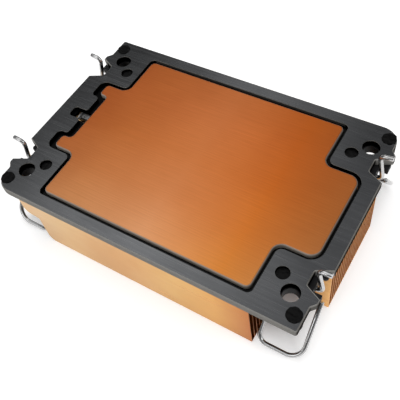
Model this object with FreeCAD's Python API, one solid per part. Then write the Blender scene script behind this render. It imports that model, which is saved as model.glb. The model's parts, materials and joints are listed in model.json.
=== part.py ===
import FreeCAD, Part

import math
import os

from FreeCAD import Vector

# Passive heatsink for a large server processor, lying on its fins with the contact face up.
# Millimetres. X runs along the fins, +Y is the back and +Z is up. The origin is the centre of
# the footprint, on the plane that the fins' free edges rest on.
# The heatsink comes apart into a black mounting frame, a copper vapour chamber with its crimped
# fill tube, a stack of folded copper fins, four black wire retainers and four anti-tilt wires.

# ---------------------------------------------------------------------------------------------
# Driving sizes

# Mounting holes, which the corner layout follows
HOLE_SPACING_X = 97.0
HOLE_SPACING_Y = 56.8
HOLE_RADIUS = 2.85

# Mounting frame: a flat black plate with a notch beside each corner
FRAME_THICKNESS = 2.5
FRAME_BEVEL = 0.35
FRAME_END_MARGIN = 8.0
FRAME_SIDE_MARGIN = 9.8
LOBE_SETBACK = 1.5
LOBE_START = 1.6
SHOULDER_LENGTH = 1.7
SHOULDER_RADIUS = 1.0
SHARP_CORNER_RADIUS = 0.8
ROUND_CORNER_RADIUS = 6.0
NOTCH_TO_HOLE = 6.55
NOTCH_DEPTH = 5.0
NOTCH_MOUTH_WIDTH = 9.7
NOTCH_FLOOR_WIDTH = 4.9
NOTCH_FLOOR_RADIUS = 0.9

# Opening in the frame for the chamber's pedestal
SIDE_RAIL_WIDTH = 4.14
RIGHT_RAIL_WIDTH = 5.0
LEFT_RAIL_WIDTH = 6.9
CORNER_PAD_LENGTH = 9.5
CORNER_PAD_TO_NOTCH = 4.75
OPENING_CORNER_RADIUS = 1.8
CORNER_PAD_RADIUS = 2.0
RIGHT_EAR_RADIUS = 4.5
LEFT_EAR_RADIUS = 2.8
LEFT_EAR_WIDTH = 7.8
LEFT_EAR_DEPTH = 3.6
LEFT_EAR_FILLET = 1.5
TUBE_POCKET_WIDTH = 4.4
TUBE_POCKET_LENGTH = 5.2
TUBE_POCKET_RADIUS = 1.2
LEDGE_THICKNESS = 1.2
LEDGE_CLEARANCE = 0.15

# Vapour chamber
CHAMBER_PROUD = 0.2
CHAMBER_BEVEL = 0.35
CHAMBER_SIDE_GAP = 1.4
CHAMBER_SHOULDER_GAP = 1.1
CHAMBER_RIGHT_GAP = 1.0
CHAMBER_LEFT_GAP = 2.7
CHAMBER_EAR_GAP = 1.3

# Fill tube
TUBE_RADIUS = 1.25
TUBE_ROUND_LENGTH = 2.6
TUBE_CRIMP_LENGTH = 2.2
TUBE_CRIMP_HALF_WIDTH = 1.7
TUBE_CRIMP_HALF_THICKNESS = 0.35
TUBE_CRIMP_SIDES = 12

# Fins: sheets folded to a C, each one's flanges closing on the next
FIN_COUNT = 44
FIN_PITCH = 1.75
FIN_THICKNESS = 0.3
FIN_HEIGHT = 22.3
FIN_BEND_FACET = 0.3
LONG_FIN_SETBACK = 0.8
SHORT_FIN_OVERLAP = 1.2
END_FIN_CORNER_RADIUS = 3.0
GUSSET_REACH = 5.5
GUSSET_OUTER_DROP = 8.0
GUSSET_INNER_DROP = 8.8
GUSSET_RADIUS = 3.0

# Wire retainers, moulded parts staked to the underside of the frame
INNER_POST_OFFSET_X = -4.65
INNER_POST_OFFSET_Y = -4.5
INNER_POST_RADIUS = 2.1
INNER_POST_SUNK = 1.3
OUTER_POST_OFFSET_X = 3.75
OUTER_POST_OFFSET_Y = 5.5
OUTER_POST_RADIUS = 2.2
OUTER_POST_PROUD = 0.25
POST_CLEARANCE = 0.1
POST_PAD_WALL = 0.25
RETAINER_WEB_THICKNESS = 1.1
RETAINER_FLANGE_THICKNESS = 3.1
RETAINER_BOSS_RADIUS = 4.8
STUD_BORE_RADIUS = 2.5
BEARING_WIDTH = 4.0
BEARING_FLOOR = 1.3
BEARING_END_GAP = 0.3
SNAP_SLOT_SHARE = 0.75
SNAP_LEAD_IN = 0.45
TONGUE_SETBACK = 1.2
TONGUE_WIDTH = 1.9
TONGUE_TO_FIN_GAP = 0.3
TONGUE_CORNER = 0.6
CHEEK_SETBACK = 0.5
CHEEK_WIDTH = 3.0
CHEEK_THICKNESS = 2.2
CHEEK_TO_SHANK = 1.5

# Anti-tilt wires: round spring wire, each one a hook, a journal and a bail. Its section has a few
# sides with their corners on the true circle, and its bends have a few steps, because it repeats.
WIRE_RADIUS = 0.75
WIRE_SIDES = 10
WIRE_BEND_STEP = 20.0
JOURNAL_CLEARANCE = 0.05
HINGE_DROP = 2.3
HOOK_RISE = 4.9
HOOK_TIP_RISE = 5.4
HOOK_TIP_OVERHANG = 0.8
HOOK_KNEE_CLEARANCE = 0.95
SHANK_FOOT_SETBACK = 1.2
HOOK_KNEE_RADIUS = 1.6
WIRE_BEND_RADIUS = 1.5
BAIL_LENGTH = 23.1
BAIL_SPLAY = 39.0
BAIL_INNER_GAP = 0.95
BAIL_OUTER_GAP = 0.5
BAIL_INNER_RADIUS = 3.0
BAIL_OUTER_RADIUS = 5.0
BAIL_END_GAP = 3.0

# How far each wire leans at rest from the pose with its hook upright, positive outwards
WIRE_LEAN = {
    "front_right": 2.5,
    "front_left": -0.5,
    "back_right": -3.0,
    "back_left": -0.5,
}

# ---------------------------------------------------------------------------------------------
# Places that follow from the sizes

HOLE_X = HOLE_SPACING_X / 2
HOLE_Y = HOLE_SPACING_Y / 2

FRAME_X = HOLE_X + FRAME_END_MARGIN
FRAME_Y = HOLE_Y + FRAME_SIDE_MARGIN
FRAME_BOTTOM = FIN_HEIGHT
FRAME_TOP = FRAME_BOTTOM + FRAME_THICKNESS
LOBE_X = FRAME_X - LOBE_SETBACK
LOBE_Y = HOLE_Y + LOBE_START
SHOULDER_Y = LOBE_Y - SHOULDER_LENGTH
NOTCH_Y = HOLE_Y - NOTCH_TO_HOLE
NOTCH_FLOOR_X = FRAME_X - NOTCH_DEPTH
NOTCH_INNER_Y = NOTCH_Y - NOTCH_MOUTH_WIDTH / 2
NOTCH_OUTER_Y = NOTCH_Y + NOTCH_MOUTH_WIDTH / 2

OPENING_Y = FRAME_Y - SIDE_RAIL_WIDTH
OPENING_X = HOLE_X - CORNER_PAD_LENGTH
OPENING_EAR_Y = NOTCH_Y - CORNER_PAD_TO_NOTCH
OPENING_RIGHT_X = FRAME_X - RIGHT_RAIL_WIDTH
OPENING_LEFT_X = FRAME_X - LEFT_RAIL_WIDTH
OPENING_RECESS_Y = OPENING_EAR_Y - LEFT_EAR_WIDTH
OPENING_RECESS_X = OPENING_LEFT_X - LEFT_EAR_DEPTH
POCKET_Y = TUBE_POCKET_WIDTH / 2
POCKET_X = OPENING_RECESS_X + TUBE_POCKET_LENGTH
LEDGE_TOP = FRAME_BOTTOM + LEDGE_THICKNESS

CHAMBER_TOP = FRAME_TOP + CHAMBER_PROUD
CHAMBER_Y = OPENING_Y - CHAMBER_SIDE_GAP
CHAMBER_X = OPENING_X - CHAMBER_SHOULDER_GAP
CHAMBER_EAR_Y = OPENING_EAR_Y - CHAMBER_EAR_GAP
CHAMBER_RIGHT_X = OPENING_RIGHT_X - CHAMBER_RIGHT_GAP
CHAMBER_LEFT_X = OPENING_LEFT_X - CHAMBER_LEFT_GAP
CHAMBER_RECESS_X = OPENING_RECESS_X - CHAMBER_LEFT_GAP
CHAMBER_RECESS_Y = OPENING_RECESS_Y + CHAMBER_EAR_GAP
TUBE_Z = FRAME_BOTTOM + TUBE_RADIUS

STACK_DEPTH = (FIN_COUNT - 1) * FIN_PITCH + FIN_THICKNESS
LONG_FIN_X = FRAME_X - LONG_FIN_SETBACK
SHORT_FIN_X = OPENING_X + SHORT_FIN_OVERLAP

HINGE_Z = FRAME_BOTTOM - HINGE_DROP
INNER_POST_X = HOLE_X + INNER_POST_OFFSET_X
INNER_POST_Y = HOLE_Y + INNER_POST_OFFSET_Y
OUTER_POST_X = HOLE_X + OUTER_POST_OFFSET_X
OUTER_POST_Y = HOLE_Y + OUTER_POST_OFFSET_Y
POST_PAD_RADIUS = OUTER_POST_RADIUS + POST_PAD_WALL
BAIL_INNER_X = SHORT_FIN_X + BAIL_INNER_GAP + WIRE_RADIUS
BAIL_OUTER_X = OUTER_POST_X + POST_PAD_RADIUS + BAIL_OUTER_GAP + WIRE_RADIUS
KNEE_X = NOTCH_FLOOR_X + HOOK_KNEE_CLEARANCE + WIRE_RADIUS
SHANK_FOOT_X = FRAME_X - SHANK_FOOT_SETBACK
SHANK_FOOT_ANGLE = math.atan2(FRAME_TOP + HOOK_RISE - HINGE_Z, SHANK_FOOT_X - KNEE_X)
HOOK_TIP_X = FRAME_X + HOOK_TIP_OVERHANG
JOURNAL_INNER_X = BAIL_INNER_X + WIRE_BEND_RADIUS
JOURNAL_OUTER_X = SHANK_FOOT_X - WIRE_BEND_RADIUS / math.tan(SHANK_FOOT_ANGLE / 2)
BEARING_INNER_X = JOURNAL_INNER_X + BEARING_END_GAP
BEARING_OUTER_X = JOURNAL_OUTER_X - BEARING_END_GAP
BEARING_BORE_RADIUS = WIRE_RADIUS + JOURNAL_CLEARANCE
BEARING_BOTTOM = HINGE_Z - BEARING_BORE_RADIUS - BEARING_FLOOR
RETAINER_WEB_BOTTOM = FRAME_BOTTOM - RETAINER_WEB_THICKNESS
TONGUE_X = FRAME_X - TONGUE_SETBACK
TONGUE_INNER_Y = NOTCH_INNER_Y + TONGUE_TO_FIN_GAP
TONGUE_OUTER_Y = TONGUE_INNER_Y + TONGUE_WIDTH
CHEEK_X = FRAME_X - CHEEK_SETBACK
CHEEK_Y = NOTCH_Y + WIRE_RADIUS + CHEEK_TO_SHANK

# Corners, each with the signs that mirror the back right one into its place
CORNERS = {
    "front_right": (1, -1),
    "front_left": (-1, -1),
    "back_right": (1, 1),
    "back_left": (-1, 1),
}


# ---------------------------------------------------------------------------------------------
# Shaping helpers


def corner_arc(previous, corner, following, radius):
    """Return the start, middle and end of the arc that rounds one corner of a path."""
    before = (previous - corner).normalize()
    after = (following - corner).normalize()
    half_angle = before.getAngle(after) / 2
    setback = radius / math.tan(half_angle)
    bisector = (before + after).normalize()
    middle = corner + bisector * (radius / math.sin(half_angle) - radius)
    return corner + before * setback, middle, corner + after * setback


def rounded_path(corners, closed):
    """Return a wire through (point, radius) corners, with each corner rounded by its radius."""
    count = len(corners)
    arcs = []
    for index, (corner, radius) in enumerate(corners):
        is_end = not closed and index in (0, count - 1)
        if is_end or radius == 0:
            arcs.append((corner, None, corner))
            continue
        previous = corners[index - 1][0]
        following = corners[(index + 1) % count][0]
        arcs.append(corner_arc(previous, corner, following, radius))
    edges = []
    for index, (start, middle, end) in enumerate(arcs):
        if middle is not None:
            edges.append(Part.Arc(start, middle, end).toShape())
        is_last = index == count - 1
        if not is_last or closed:
            edges.append(Part.LineSegment(end, arcs[(index + 1) % count][0]).toShape())
    return Part.Wire(edges)


def plan_outline(corners, height):
    """Return the face inside (x, y, radius) corners, lying flat at a height."""
    return Part.Face(rounded_path([(Vector(x, y, height), radius) for x, y, radius in corners], True))


def prism(face, bottom, top):
    """Return a plan face, drawn at the bottom height, pulled up to the top height."""
    return face.extrude(Vector(0, 0, top - bottom))


def post(x, y, radius, bottom, top):
    """Return an upright cylinder between two heights."""
    return Part.makeCylinder(radius, top - bottom, Vector(x, y, bottom))


def block(low, high):
    """Return a box between its lowest and highest corners."""
    size = high - low
    return Part.makeBox(size.x, size.y, size.z, low)


def linked_pads(first, second, bottom, top):
    """Return the hull of two upright round pads, each one given as (x, y, radius)."""
    start = Vector(first[0], first[1], bottom)
    along = Vector(second[0], second[1], bottom) - start
    lean = math.acos((first[2] - second[2]) / along.Length)
    heading = math.atan2(along.y, along.x)
    points = []
    for x, y, radius in (first, second):
        for side in (1, -1):
            angle = heading + side * lean
            points.append(Vector(x + radius * math.cos(angle), y + radius * math.sin(angle), bottom))
    quad = Part.makePolygon([points[0], points[1], points[3], points[2], points[0]])
    hull = prism(Part.Face(quad), bottom, top)
    for x, y, radius in (first, second):
        hull = hull.fuse(post(x, y, radius, bottom, top))
    return hull.removeSplitter()


def top_edges(shape):
    """Return the edges round the highest flat face of a solid."""
    top = shape.BoundBox.ZMax
    flat = [face for face in shape.Faces if face.BoundBox.ZMin > top - 1e-6]
    return flat[0].OuterWire.Edges


def placed(shape, signs):
    """Return a back right corner piece mirrored into the corner with these signs."""
    if signs[0] < 0:
        shape = shape.mirror(Vector(0, 0, 0), Vector(1, 0, 0))
    if signs[1] < 0:
        shape = shape.mirror(Vector(0, 0, 0), Vector(0, 1, 0))
    return shape


def solid_of(shape):
    """Return the one solid that a shape holds."""
    if len(shape.Solids) != 1:
        raise ValueError("expected one solid, found %d" % len(shape.Solids))
    return shape.Solids[0]


# ---------------------------------------------------------------------------------------------
# Mounting frame


def right_side(front_corner_radius, back_corner_radius):
    """Return the outline corners of the frame's right side, from the front to the back."""
    floor_half = NOTCH_FLOOR_WIDTH / 2
    back_half = [
        (FRAME_X, NOTCH_INNER_Y, 0),
        (NOTCH_FLOOR_X, NOTCH_Y - floor_half, NOTCH_FLOOR_RADIUS),
        (NOTCH_FLOOR_X, NOTCH_Y + floor_half, NOTCH_FLOOR_RADIUS),
        (FRAME_X, NOTCH_OUTER_Y, 0),
        (FRAME_X, SHOULDER_Y, SHOULDER_RADIUS),
        (LOBE_X, LOBE_Y, SHOULDER_RADIUS),
        (LOBE_X, FRAME_Y, back_corner_radius),
    ]
    front_half = [(x, -y, radius) for x, y, radius in reversed(back_half)]
    front_half[0] = (LOBE_X, -FRAME_Y, front_corner_radius)
    return front_half + back_half


def frame_outline():
    """Return the frame's outline, which is the same after half a turn."""
    side = right_side(SHARP_CORNER_RADIUS, ROUND_CORNER_RADIUS)
    return side + [(-x, -y, radius) for x, y, radius in side]


def opening_outline():
    """Return the outline of the opening: a wide right ear, and two left ears with the tube pocket."""
    back = [
        (OPENING_RIGHT_X, OPENING_EAR_Y, RIGHT_EAR_RADIUS),
        (OPENING_X, OPENING_EAR_Y, CORNER_PAD_RADIUS),
        (OPENING_X, OPENING_Y, OPENING_CORNER_RADIUS),
        (-OPENING_X, OPENING_Y, OPENING_CORNER_RADIUS),
        (-OPENING_X, OPENING_EAR_Y, CORNER_PAD_RADIUS),
        (-OPENING_LEFT_X, OPENING_EAR_Y, LEFT_EAR_RADIUS),
        (-OPENING_LEFT_X, OPENING_RECESS_Y, LEFT_EAR_FILLET),
        (-OPENING_RECESS_X, OPENING_RECESS_Y, LEFT_EAR_FILLET),
        (-OPENING_RECESS_X, POCKET_Y, TUBE_POCKET_RADIUS),
        (-POCKET_X, POCKET_Y, TUBE_POCKET_RADIUS),
    ]
    return back + [(x, -y, radius) for x, y, radius in reversed(back)]


def chamber_outline():
    """Return the outline of the chamber's pedestal, which follows the opening without its pocket."""
    back = [
        (CHAMBER_RIGHT_X, CHAMBER_EAR_Y, RIGHT_EAR_RADIUS - CHAMBER_RIGHT_GAP),
        (CHAMBER_X, CHAMBER_EAR_Y, CORNER_PAD_RADIUS + CHAMBER_SHOULDER_GAP),
        (CHAMBER_X, CHAMBER_Y, OPENING_CORNER_RADIUS),
        (-CHAMBER_X, CHAMBER_Y, OPENING_CORNER_RADIUS),
        (-CHAMBER_X, CHAMBER_EAR_Y, CORNER_PAD_RADIUS + CHAMBER_SHOULDER_GAP),
        (-CHAMBER_LEFT_X, CHAMBER_EAR_Y, LEFT_EAR_FILLET),
        (-CHAMBER_LEFT_X, CHAMBER_RECESS_Y, LEFT_EAR_FILLET),
        (-CHAMBER_RECESS_X, CHAMBER_RECESS_Y, LEFT_EAR_FILLET),
    ]
    return back + [(x, -y, radius) for x, y, radius in reversed(back)]


def corner_holes():
    """Return the holes of the frame: three through each corner."""
    holes = []
    for signs in CORNERS.values():
        places = (
            (HOLE_X, HOLE_Y, HOLE_RADIUS),
            (INNER_POST_X, INNER_POST_Y, INNER_POST_RADIUS + POST_CLEARANCE),
            (OUTER_POST_X, OUTER_POST_Y, OUTER_POST_RADIUS + POST_CLEARANCE),
        )
        for x, y, radius in places:
            holes.append(placed(post(x, y, radius, FRAME_BOTTOM, FRAME_TOP), signs))
    return holes


def mounting_frame():
    """Return the black plate, with a thin ledge under the gap round the pedestal."""
    plate = prism(plan_outline(frame_outline(), FRAME_BOTTOM), FRAME_BOTTOM, FRAME_TOP)
    plate = plate.makeChamfer(FRAME_BEVEL, top_edges(plate))
    opening = prism(plan_outline(opening_outline(), LEDGE_TOP), LEDGE_TOP, FRAME_TOP)
    seat_face = plan_outline(chamber_outline(), FRAME_BOTTOM).makeOffset2D(LEDGE_CLEARANCE)
    seat = prism(seat_face, FRAME_BOTTOM, FRAME_TOP)
    tube_slot = block(
        Vector(-POCKET_X + TUBE_POCKET_RADIUS, -POCKET_Y, FRAME_BOTTOM),
        Vector(-CHAMBER_X, POCKET_Y, FRAME_TOP),
    )
    return plate.cut([opening, seat, tube_slot] + corner_holes())


# ---------------------------------------------------------------------------------------------
# Vapour chamber and fill tube


def vapor_chamber():
    """Return the sealed copper chamber, a bevelled slab that stands just proud of the frame."""
    slab = prism(plan_outline(chamber_outline(), FRAME_BOTTOM), FRAME_BOTTOM, CHAMBER_TOP)
    return slab.makeChamfer(CHAMBER_BEVEL, top_edges(slab))


def oval(centre, half_width, half_thickness):
    """Return a many-sided upright oval outline round a point of the tube's axis."""
    points = []
    for side in range(TUBE_CRIMP_SIDES):
        angle = 2 * math.pi * side / TUBE_CRIMP_SIDES
        points.append(centre + Vector(0, half_width * math.cos(angle), half_thickness * math.sin(angle)))
    return Part.makePolygon(points + [points[0]])


def fill_tube():
    """Return the tube that the chamber was filled through, cut short and crimped flat."""
    root = Vector(-CHAMBER_RECESS_X, 0, TUBE_Z)
    outward = Vector(-1, 0, 0)
    waist = root + outward * TUBE_ROUND_LENGTH
    tip = waist + outward * TUBE_CRIMP_LENGTH
    round_part = Part.makeCylinder(TUBE_RADIUS, TUBE_ROUND_LENGTH, root, outward)
    throat = oval(waist, TUBE_RADIUS, TUBE_RADIUS)
    lips = oval(tip, TUBE_CRIMP_HALF_WIDTH, TUBE_CRIMP_HALF_THICKNESS)
    crimp = Part.makeLoft([throat, lips], True, True)
    return round_part.fuse(crimp)


# ---------------------------------------------------------------------------------------------
# Fins


def fin_front(index):
    """Return the Y of the front of a fin's web, in a stack centred on the origin."""
    return index * FIN_PITCH - STACK_DEPTH / 2


def folded_sheet(front, half_length):
    """Return a C-shaped sheet: an upright web with a flange turned back at its top and bottom.

    Each tight bend is one slanting facet, because the stack repeats it so many times."""
    back = front + FIN_PITCH
    inner = front + FIN_THICKNESS
    bend = front + FIN_BEND_FACET
    profile = [
        (front, FIN_BEND_FACET),
        (bend, 0),
        (back, 0),
        (back, FIN_THICKNESS),
        (inner, FIN_THICKNESS),
        (inner, FIN_HEIGHT - FIN_THICKNESS),
        (back, FIN_HEIGHT - FIN_THICKNESS),
        (back, FIN_HEIGHT),
        (bend, FIN_HEIGHT),
        (front, FIN_HEIGHT - FIN_BEND_FACET),
    ]
    corners = [(Vector(-half_length, y, z), 0) for y, z in profile]
    face = Part.Face(rounded_path(corners, True))
    return face.extrude(Vector(2 * half_length, 0, 0))


def plain_sheet(front, half_length):
    """Return an upright sheet with no flanges."""
    low = Vector(-half_length, front, 0)
    return block(low, Vector(half_length, front + FIN_THICKNESS, FIN_HEIGHT))


def lower_corner(side, front):
    """Return what rounding takes off the lower corner of an end fin, on the side given by a sign."""
    radius = END_FIN_CORNER_RADIUS
    tip = Vector(SHORT_FIN_X, front, 0)
    square = block(tip - Vector(radius, 0, 0), tip + Vector(0, FIN_PITCH, radius))
    round_part = Part.makeCylinder(
        radius, FIN_PITCH, tip + Vector(-radius, 0, radius), Vector(0, 1, 0)
    )
    waste = square.cut(round_part)
    return waste if side > 0 else waste.mirror(Vector(0, 0, 0), Vector(1, 0, 0))


def gusset(side, front):
    """Return the ear that an end fin carries under the frame, on the side given by a sign."""
    outline = [
        (SHORT_FIN_X, FIN_HEIGHT, 0),
        (SHORT_FIN_X + GUSSET_REACH, FIN_HEIGHT, 0),
        (SHORT_FIN_X + GUSSET_REACH, FIN_HEIGHT - GUSSET_OUTER_DROP, GUSSET_RADIUS),
        (SHORT_FIN_X, FIN_HEIGHT - GUSSET_INNER_DROP, 0),
    ]
    corners = [(Vector(side * x, front, z), radius) for x, z, radius in outline]
    return Part.Face(rounded_path(corners, True)).extrude(Vector(0, FIN_THICKNESS, 0))


def end_fin(sheet, side, front):
    """Return an outermost fin: one lower corner rounded off, and a gusset above that corner."""
    return sheet.cut(lower_corner(side, front)).fuse(gusset(side, front)).removeSplitter()


def fin(index):
    """Return one fin of the stack: long between the notches, short beside the corner pads."""
    front = fin_front(index)
    fits_between = max(-front, front + FIN_THICKNESS) <= NOTCH_INNER_Y
    flange_fits = max(-front, front + FIN_PITCH) <= NOTCH_INNER_Y
    if index == FIN_COUNT - 1:
        return end_fin(plain_sheet(front, SHORT_FIN_X), 1, front)
    if index == 0:
        return end_fin(folded_sheet(front, SHORT_FIN_X), -1, front)
    if flange_fits:
        return folded_sheet(front, LONG_FIN_X)
    short = folded_sheet(front, SHORT_FIN_X)
    if fits_between:
        return short.fuse(plain_sheet(front, LONG_FIN_X)).removeSplitter()
    return short


# ---------------------------------------------------------------------------------------------
# Wire retainers and anti-tilt wires, modelled at the back right corner


def bearing():
    """Return the snap bearing for the wire's journal, open below so that the wire presses in: its
    body, and what is cut from the body and from all that is joined to it."""
    half = BEARING_WIDTH / 2
    body = block(
        Vector(BEARING_INNER_X, NOTCH_Y - half, BEARING_BOTTOM),
        Vector(BEARING_OUTER_X, NOTCH_Y + half, FRAME_BOTTOM),
    )
    length = BEARING_OUTER_X - BEARING_INNER_X
    along = Vector(1, 0, 0)
    start = Vector(BEARING_INNER_X, NOTCH_Y, HINGE_Z)
    bore = Part.makeCylinder(BEARING_BORE_RADIUS, length, start, along)
    slot_half = BEARING_BORE_RADIUS * SNAP_SLOT_SHARE
    slot = block(
        Vector(BEARING_INNER_X, NOTCH_Y - slot_half, BEARING_BOTTOM),
        Vector(BEARING_OUTER_X, NOTCH_Y + slot_half, HINGE_Z),
    )
    mouth_half = slot_half + SNAP_LEAD_IN
    mouth = Part.makePolygon(
        [
            Vector(BEARING_INNER_X, NOTCH_Y - mouth_half, BEARING_BOTTOM),
            Vector(BEARING_INNER_X, NOTCH_Y + mouth_half, BEARING_BOTTOM),
            Vector(BEARING_INNER_X, NOTCH_Y, BEARING_BOTTOM + mouth_half),
            Vector(BEARING_INNER_X, NOTCH_Y - mouth_half, BEARING_BOTTOM),
        ]
    )
    lead_in = Part.Face(mouth).extrude(along * length)
    return body, [bore, slot, lead_in]


def tongue():
    """Return the flat tongue that reaches out beside the wire's shank, and the web it grows from."""
    outline = [
        (BEARING_INNER_X, TONGUE_INNER_Y, 0),
        (TONGUE_X - TONGUE_CORNER, TONGUE_INNER_Y, 0),
        (TONGUE_X, TONGUE_INNER_Y + TONGUE_CORNER, 0),
        (TONGUE_X, TONGUE_OUTER_Y - TONGUE_CORNER, 0),
        (TONGUE_X - TONGUE_CORNER, TONGUE_OUTER_Y, 0),
        (BEARING_OUTER_X, TONGUE_OUTER_Y, 0),
        (BEARING_OUTER_X, NOTCH_Y, 0),
        (BEARING_INNER_X, NOTCH_Y, 0),
    ]
    return prism(plan_outline(outline, RETAINER_WEB_BOTTOM), RETAINER_WEB_BOTTOM, FRAME_BOTTOM)


def cheek():
    """Return the cheek that guards the wire's shank on the side of the stud hole."""
    return block(
        Vector(HOLE_X, CHEEK_Y, FRAME_BOTTOM - CHEEK_THICKNESS),
        Vector(CHEEK_X, CHEEK_Y + CHEEK_WIDTH, FRAME_BOTTOM),
    )


def wire_retainer():
    """Return the black moulding that holds one wire: a boss round the stud hole, two posts staked
    through the frame, the bearing for the wire, and the tongue and cheek beside its shank."""
    flange_bottom = FRAME_BOTTOM - RETAINER_FLANGE_THICKNESS
    boss = (HOLE_X, HOLE_Y, RETAINER_BOSS_RADIUS)
    outer_pad = (OUTER_POST_X, OUTER_POST_Y, POST_PAD_RADIUS)
    inner_pad = (INNER_POST_X, INNER_POST_Y, POST_PAD_RADIUS)
    bearing_body, bearing_cuts = bearing()
    bearing_to_boss = block(
        Vector(BEARING_INNER_X, NOTCH_Y, flange_bottom),
        Vector(BEARING_OUTER_X, HOLE_Y, FRAME_BOTTOM),
    )
    pieces = [
        linked_pads(inner_pad, boss, RETAINER_WEB_BOTTOM, FRAME_BOTTOM),
        bearing_body,
        tongue(),
        cheek(),
        bearing_to_boss,
        post(INNER_POST_X, INNER_POST_Y, INNER_POST_RADIUS, FRAME_BOTTOM, FRAME_TOP - INNER_POST_SUNK),
        post(OUTER_POST_X, OUTER_POST_Y, OUTER_POST_RADIUS, FRAME_BOTTOM, FRAME_TOP + OUTER_POST_PROUD),
    ]
    body = linked_pads(boss, outer_pad, flange_bottom, FRAME_BOTTOM).fuse(pieces)
    stud_bore = post(HOLE_X, HOLE_Y, STUD_BORE_RADIUS, flange_bottom, FRAME_BOTTOM)
    return body.cut(bearing_cuts + [stud_bore]).removeSplitter()


def bail_point(x, distance):
    """Return a point of the bail, at a distance from the hinge axis down its splayed plane."""
    splay = math.radians(BAIL_SPLAY)
    return Vector(x, NOTCH_Y + distance * math.sin(splay), HINGE_Z - distance * math.cos(splay))


def wire_section(centre, heading):
    """Return the outline of the wire's many-sided section, square to its heading."""
    across = heading.cross(Vector(0, 1, 0)).normalize()
    upright = across.cross(heading)
    points = []
    for side in range(WIRE_SIDES):
        angle = 2 * math.pi * side / WIRE_SIDES
        points.append(centre + (across * math.cos(angle) + upright * math.sin(angle)) * WIRE_RADIUS)
    return Part.makePolygon(points + [points[0]])


def stepped_path(path):
    """Return a path of straight edges, with each arc of the given path cut into equal steps."""
    points = [path.OrderedEdges[0].firstVertex(True).Point]
    for edge in path.OrderedEdges:
        steps = 1
        if isinstance(edge.Curve, Part.Circle):
            steps = round(math.degrees(edge.Length / edge.Curve.Radius) / WIRE_BEND_STEP)
        points += edge.discretize(steps + 1)[1:]
    return Part.makePolygon(points)


def anti_tilt_wire(lean):
    """Return one wire: hook, shank and journal, then the bail's inner leg, bar and outer leg."""
    centre_line = [
        (Vector(HOOK_TIP_X, NOTCH_Y, FRAME_TOP + HOOK_TIP_RISE), 0),
        (Vector(KNEE_X, NOTCH_Y, FRAME_TOP + HOOK_RISE), HOOK_KNEE_RADIUS),
        (Vector(SHANK_FOOT_X, NOTCH_Y, HINGE_Z), WIRE_BEND_RADIUS),
        (Vector(BAIL_INNER_X, NOTCH_Y, HINGE_Z), WIRE_BEND_RADIUS),
        (bail_point(BAIL_INNER_X, BAIL_LENGTH), BAIL_INNER_RADIUS),
        (bail_point(BAIL_OUTER_X, BAIL_LENGTH), BAIL_OUTER_RADIUS),
        (bail_point(BAIL_OUTER_X, BAIL_END_GAP), 0),
    ]
    start = centre_line[0][0]
    heading = (centre_line[1][0] - start).normalize()
    sweep = Part.BRepOffsetAPI.MakePipeShell(stepped_path(rounded_path(centre_line, False)))
    sweep.setTransitionMode(1)
    sweep.add(wire_section(start, heading))
    sweep.build()
    sweep.makeSolid()
    wire = Part.Solid(sweep.shape())
    wire.rotate(Vector(0, NOTCH_Y, HINGE_Z), Vector(1, 0, 0), lean)
    return wire


# ---------------------------------------------------------------------------------------------
# Every piece under its name


def pieces():
    """Return each piece of the heatsink by its node name."""
    named = {
        "mounting_frame": mounting_frame(),
        "vapor_chamber": vapor_chamber(),
        "fill_tube": fill_tube(),
    }
    for index in range(FIN_COUNT):
        named["fin_%02d" % (index + 1)] = fin(index)
    retainer = wire_retainer()
    for corner, signs in CORNERS.items():
        named["wire_retainer_" + corner] = placed(retainer, signs)
        named["anti_tilt_wire_" + corner] = placed(anti_tilt_wire(WIRE_LEAN[corner]), signs)
    return named


def export():
    """Write each piece to its own STEP file."""
    os.makedirs("parts", exist_ok=True)
    for name, shape in pieces().items():
        solid_of(shape).exportStep(os.path.join("parts", name + ".step"))


export()
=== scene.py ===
"""Dresses the passive processor heatsink: its finishes, spring wires and stakes, and the studio.

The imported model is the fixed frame. Its plate, chamber, fins and retainers keep their places and
get their finishes here. The anti-tilt wires, the crimped fill tube and the rough stake heads are
modelled here, because they need rounder and rougher forms than the frame's solids have.
All lengths are in metres, and angles are in degrees where a name ends in _deg.
"""

import json
import logging
import math
from dataclasses import dataclass, field
from enum import Enum
from typing import Callable, Iterable, Optional

import bpy
from mathutils import Matrix, Vector


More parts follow.
